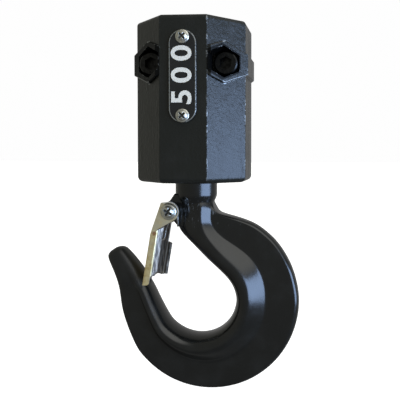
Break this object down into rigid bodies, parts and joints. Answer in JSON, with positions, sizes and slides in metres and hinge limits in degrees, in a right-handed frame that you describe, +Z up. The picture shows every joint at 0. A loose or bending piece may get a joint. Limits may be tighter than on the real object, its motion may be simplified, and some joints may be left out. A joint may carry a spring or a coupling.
{
  "type": "hoist hook block",
  "caption": "Octagonal split hook block of a chain hoist with a forged swivel hook on a thrust bearing and a sprung safety latch.",
  "frame": {"origin": "centre of the chain pin, on the shank's axis", "axes": "+Z up along the shank's axis, out of the chain entry; -Y towards the front, where the number plate is; the hook's tip is on the -X side"},
  "size_m": [0.0886, 0.0507, 0.1649],
  "materials": {
    "block_paint": "semi-gloss black paint on a casting, slightly orange-peeled, edges worn",
    "hook_paint": "semi-gloss black paint on a forging",
    "black_oxide": "black oxide, lightly oiled",
    "zinc_steel": "bright zinc",
    "yellow_zinc": "yellow passivated zinc, worn at the edges",
    "spring_steel": "bright drawn wire",
    "bearing_steel": "ground and greased",
    "cage_brass": "turned",
    "plate_black": "black enamel with a bare bright edge line and pale figures"
  },
  "bodies": {
    "block": {"front_half": "block_paint", "rear_half": "block_paint", "clamp_screws": "black_oxide", "clamp_nuts": "zinc_steel", "spring_washers": "zinc_steel", "dowel_pins": "zinc_steel", "chain_pin": "zinc_steel", "number_plate": "plate_black", "plate_screws": "zinc_steel", "bearing_lower_race": "bearing_steel"},
    "cage": {"bearing_cage": "cage_brass", "bearing_balls": "bearing_steel"},
    "hook": {"hook": "hook_paint", "hook_nut": "zinc_steel", "split_pin": "zinc_steel", "bearing_upper_race": "bearing_steel"},
    "latch": {"latch": "yellow_zinc", "latch_bush": "zinc_steel", "latch_screw": "zinc_steel", "latch_nut": "zinc_steel", "latch_spring": "spring_steel"}
  },
  "joints": [
    {"name": "hook_swivel", "type": "hinge", "parent": "block", "child": "hook", "pos_m": [0, 0, -0.0428], "axis": [0, 0, 1], "continuous": true},
    {"name": "bearing_cage_spin", "type": "hinge", "parent": "block", "child": "cage", "pos_m": [0, 0, -0.0375], "axis": [0, 0, 1], "continuous": true},
    {"name": "latch_pivot", "type": "hinge", "parent": "hook", "child": "latch", "pos_m": [-0.0096, 0, -0.064], "axis": [0, -1, 0], "range_deg": [0, 51], "stiffness_Nm_per_rad": 0.03, "springref_deg": -60.16, "deforming": ["latch_spring"]}
  ],
  "couplings": [
    {"joint": "bearing_cage_spin", "follows": "hook_swivel", "ratio": 0.5}
  ]
}
